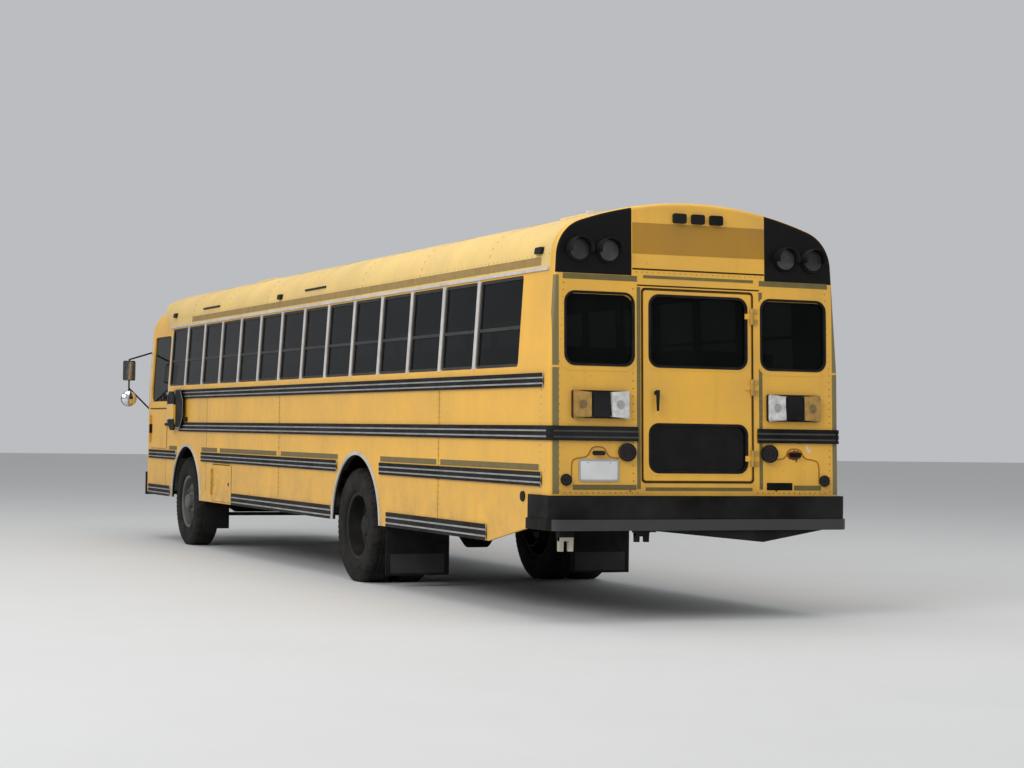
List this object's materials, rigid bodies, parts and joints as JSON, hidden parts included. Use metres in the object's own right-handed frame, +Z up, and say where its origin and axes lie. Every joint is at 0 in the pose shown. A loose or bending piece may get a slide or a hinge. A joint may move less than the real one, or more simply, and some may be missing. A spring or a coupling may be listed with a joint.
{
  "type": "school bus",
  "caption": "Full-size flat-nosed yellow school bus with steered front wheels, dual rear wheels, opening doors, roof hatches and a folding stop arm.",
  "frame": {"origin": "on the ground under the middle of the bounding box", "axes": "+X forward, +Y to the bus's left, +Z up"},
  "size_m": [12.274, 3.07, 3.101],
  "materials": {
    "body_yellow": "semi-gloss school-bus yellow, faded, with rust at seams",
    "black_paint": "satin black",
    "dark_steel": "dull black chassis paint",
    "silver": "brushed",
    "glass": "tinted",
    "rubber": "matt",
    "tyre": "matt tread rubber",
    "rim_paint": "dull dark wheel paint",
    "cast": "rough",
    "white_trim": "off-white moulding",
    "seat_vinyl": "dark green vinyl",
    "grey_plastic": "grained",
    "lamp_lens": "moulded lens",
    "floor_black": "ribbed floor covering",
    "hatch_white": "moulded",
    "chrome": "polished"
  },
  "bodies": {
    "bus": {"left_wall": "body_yellow", "right_wall": "body_yellow", "roof": "body_yellow", "rear_wall": "body_yellow", "front_face": "body_yellow", "front_cap": "body_yellow", "window_glass": "glass", "window_sashes": "black_paint", "window_pillars": "silver", "rub_rails": "black_paint", "arch_trims": "white_trim", "floor": "floor_black", "wheelhouses": "floor_black", "step_well": "floor_black", "hatch_panels": "body_yellow", "frame_rails": "dark_steel", "front_axle": "cast", "rear_axle": "cast", "leaf_springs": "dark_steel", "rear_bumper": "black_paint", "front_bumper": "black_paint", "fuel_tank": "dark_steel", "engine": "cast", "engine_cover": "grey_plastic", "driveline": "dark_steel", "exhaust": "dark_steel", "battery_box": "black_paint", "mud_flaps": "rubber", "seats": "seat_vinyl", "seat_frames": "dark_steel", "driver_seat": "seat_vinyl", "dashboard": "grey_plastic", "warning_lamps": "lamp_lens", "marker_lamps": "lamp_lens", "tail_lamps": "lamp_lens", "headlamps": "chrome", "grille": "black_paint", "mirrors": "black_paint", "stop_arm_bracket": "black_paint"},
    "battery_door_body": {"battery_door": "body_yellow"},
    "engine_door_body": {"engine_door": "body_yellow"},
    "entrance_front_body": {"entrance_leaf_front": "black_paint"},
    "entrance_rear_body": {"entrance_leaf_rear": "black_paint"},
    "hatch_rear_body": {"roof_hatch_rear": "hatch_white"},
    "hatch_front_body": {"roof_hatch_front": "hatch_white"},
    "emergency_door_body": {"emergency_door": "body_yellow"},
    "stop_arm_body": {"stop_arm": "black_paint"},
    "knuckle_left_body": {"knuckle_left": "cast"},
    "knuckle_right_body": {"knuckle_right": "cast"},
    "tie_rod_body": {"tie_rod": "dark_steel"},
    "wheel_front_left": {"tyre_front_left": "tyre", "rim_front_left": "rim_paint"},
    "wheel_front_right": {"tyre_front_right": "tyre", "rim_front_right": "rim_paint"},
    "wheels_rear_left": {"tyres_rear_left": "tyre", "rims_rear_left": "rim_paint"},
    "wheels_rear_right": {"tyres_rear_right": "tyre", "rims_rear_right": "rim_paint"}
  },
  "joints": [
    {"name": "steer_left", "type": "hinge", "parent": "bus", "child": "knuckle_left_body", "pos_m": [4.207, 0.82, 0.5], "axis": [0, 0, 1], "range_deg": [-35, 35]},
    {"name": "steer_right", "type": "hinge", "parent": "bus", "child": "knuckle_right_body", "pos_m": [4.207, -0.82, 0.5], "axis": [0, 0, 1], "range_deg": [-35, 35]},
    {"name": "tie_rod_pivot", "type": "hinge", "parent": "knuckle_left_body", "child": "tie_rod_body", "pos_m": [4.027, 0.82, 0.4], "axis": [0, 0, 1], "range_deg": [-35, 35]},
    {"name": "roll_front_left", "type": "hinge", "parent": "knuckle_left_body", "child": "wheel_front_left", "pos_m": [4.207, 1.04, 0.5], "axis": [0, 1, 0], "continuous": true},
    {"name": "roll_front_right", "type": "hinge", "parent": "knuckle_right_body", "child": "wheel_front_right", "pos_m": [4.207, -1.04, 0.5], "axis": [0, 1, 0], "continuous": true},
    {"name": "roll_rear_left", "type": "hinge", "parent": "bus", "child": "wheels_rear_left", "pos_m": [-1.776, 0.885, 0.5], "axis": [0, 1, 0], "continuous": true},
    {"name": "roll_rear_right", "type": "hinge", "parent": "bus", "child": "wheels_rear_right", "pos_m": [-1.776, -0.885, 0.5], "axis": [0, 1, 0], "continuous": true},
    {"name": "emergency_door_hinge", "type": "hinge", "parent": "bus", "child": "emergency_door_body", "pos_m": [-6.01578, -0.4525, 1.72049], "axis": [0.038, 0, 0.9993], "range_deg": [0, 110]},
    {"name": "entrance_front_hinge", "type": "hinge", "parent": "bus", "child": "entrance_front_body", "pos_m": [5.8295, -1.218, 1.182], "axis": [0, 0, 1], "range_deg": [0, 88]},
    {"name": "entrance_rear_hinge", "type": "hinge", "parent": "bus", "child": "entrance_rear_body", "pos_m": [5.0145, -1.218, 1.182], "axis": [0, 0, -1], "range_deg": [0, 88]},
    {"name": "stop_arm_hinge", "type": "hinge", "parent": "bus", "child": "stop_arm_body", "pos_m": [4.847, 1.251, 1.575], "axis": [0, 0, -1], "range_deg": [0, 90]},
    {"name": "battery_door_hinge", "type": "hinge", "parent": "bus", "child": "battery_door_body", "pos_m": [2.9995, 1.218, 0.76], "axis": [0, 0, -1], "range_deg": [0, 120]},
    {"name": "engine_door_hinge", "type": "hinge", "parent": "bus", "child": "engine_door_body", "pos_m": [5.8695, 1.218, 1.335], "axis": [0, 0, -1], "range_deg": [0, 100]},
    {"name": "hatch_rear_hinge", "type": "hinge", "parent": "bus", "child": "hatch_rear_body", "pos_m": [-4.202, 0, 3.091], "axis": [0, 1, 0], "range_deg": [0, 70]},
    {"name": "hatch_front_hinge", "type": "hinge", "parent": "bus", "child": "hatch_front_body", "pos_m": [4.348, 0, 3.091], "axis": [0, 1, 0], "range_deg": [0, 70]}
  ],
  "couplings": [
    {"joint": "steer_right", "follows": "steer_left", "ratio": 1},
    {"joint": "tie_rod_pivot", "follows": "steer_left", "ratio": -1},
    {"joint": "entrance_rear_hinge", "follows": "entrance_front_hinge", "ratio": 1}
  ]
}
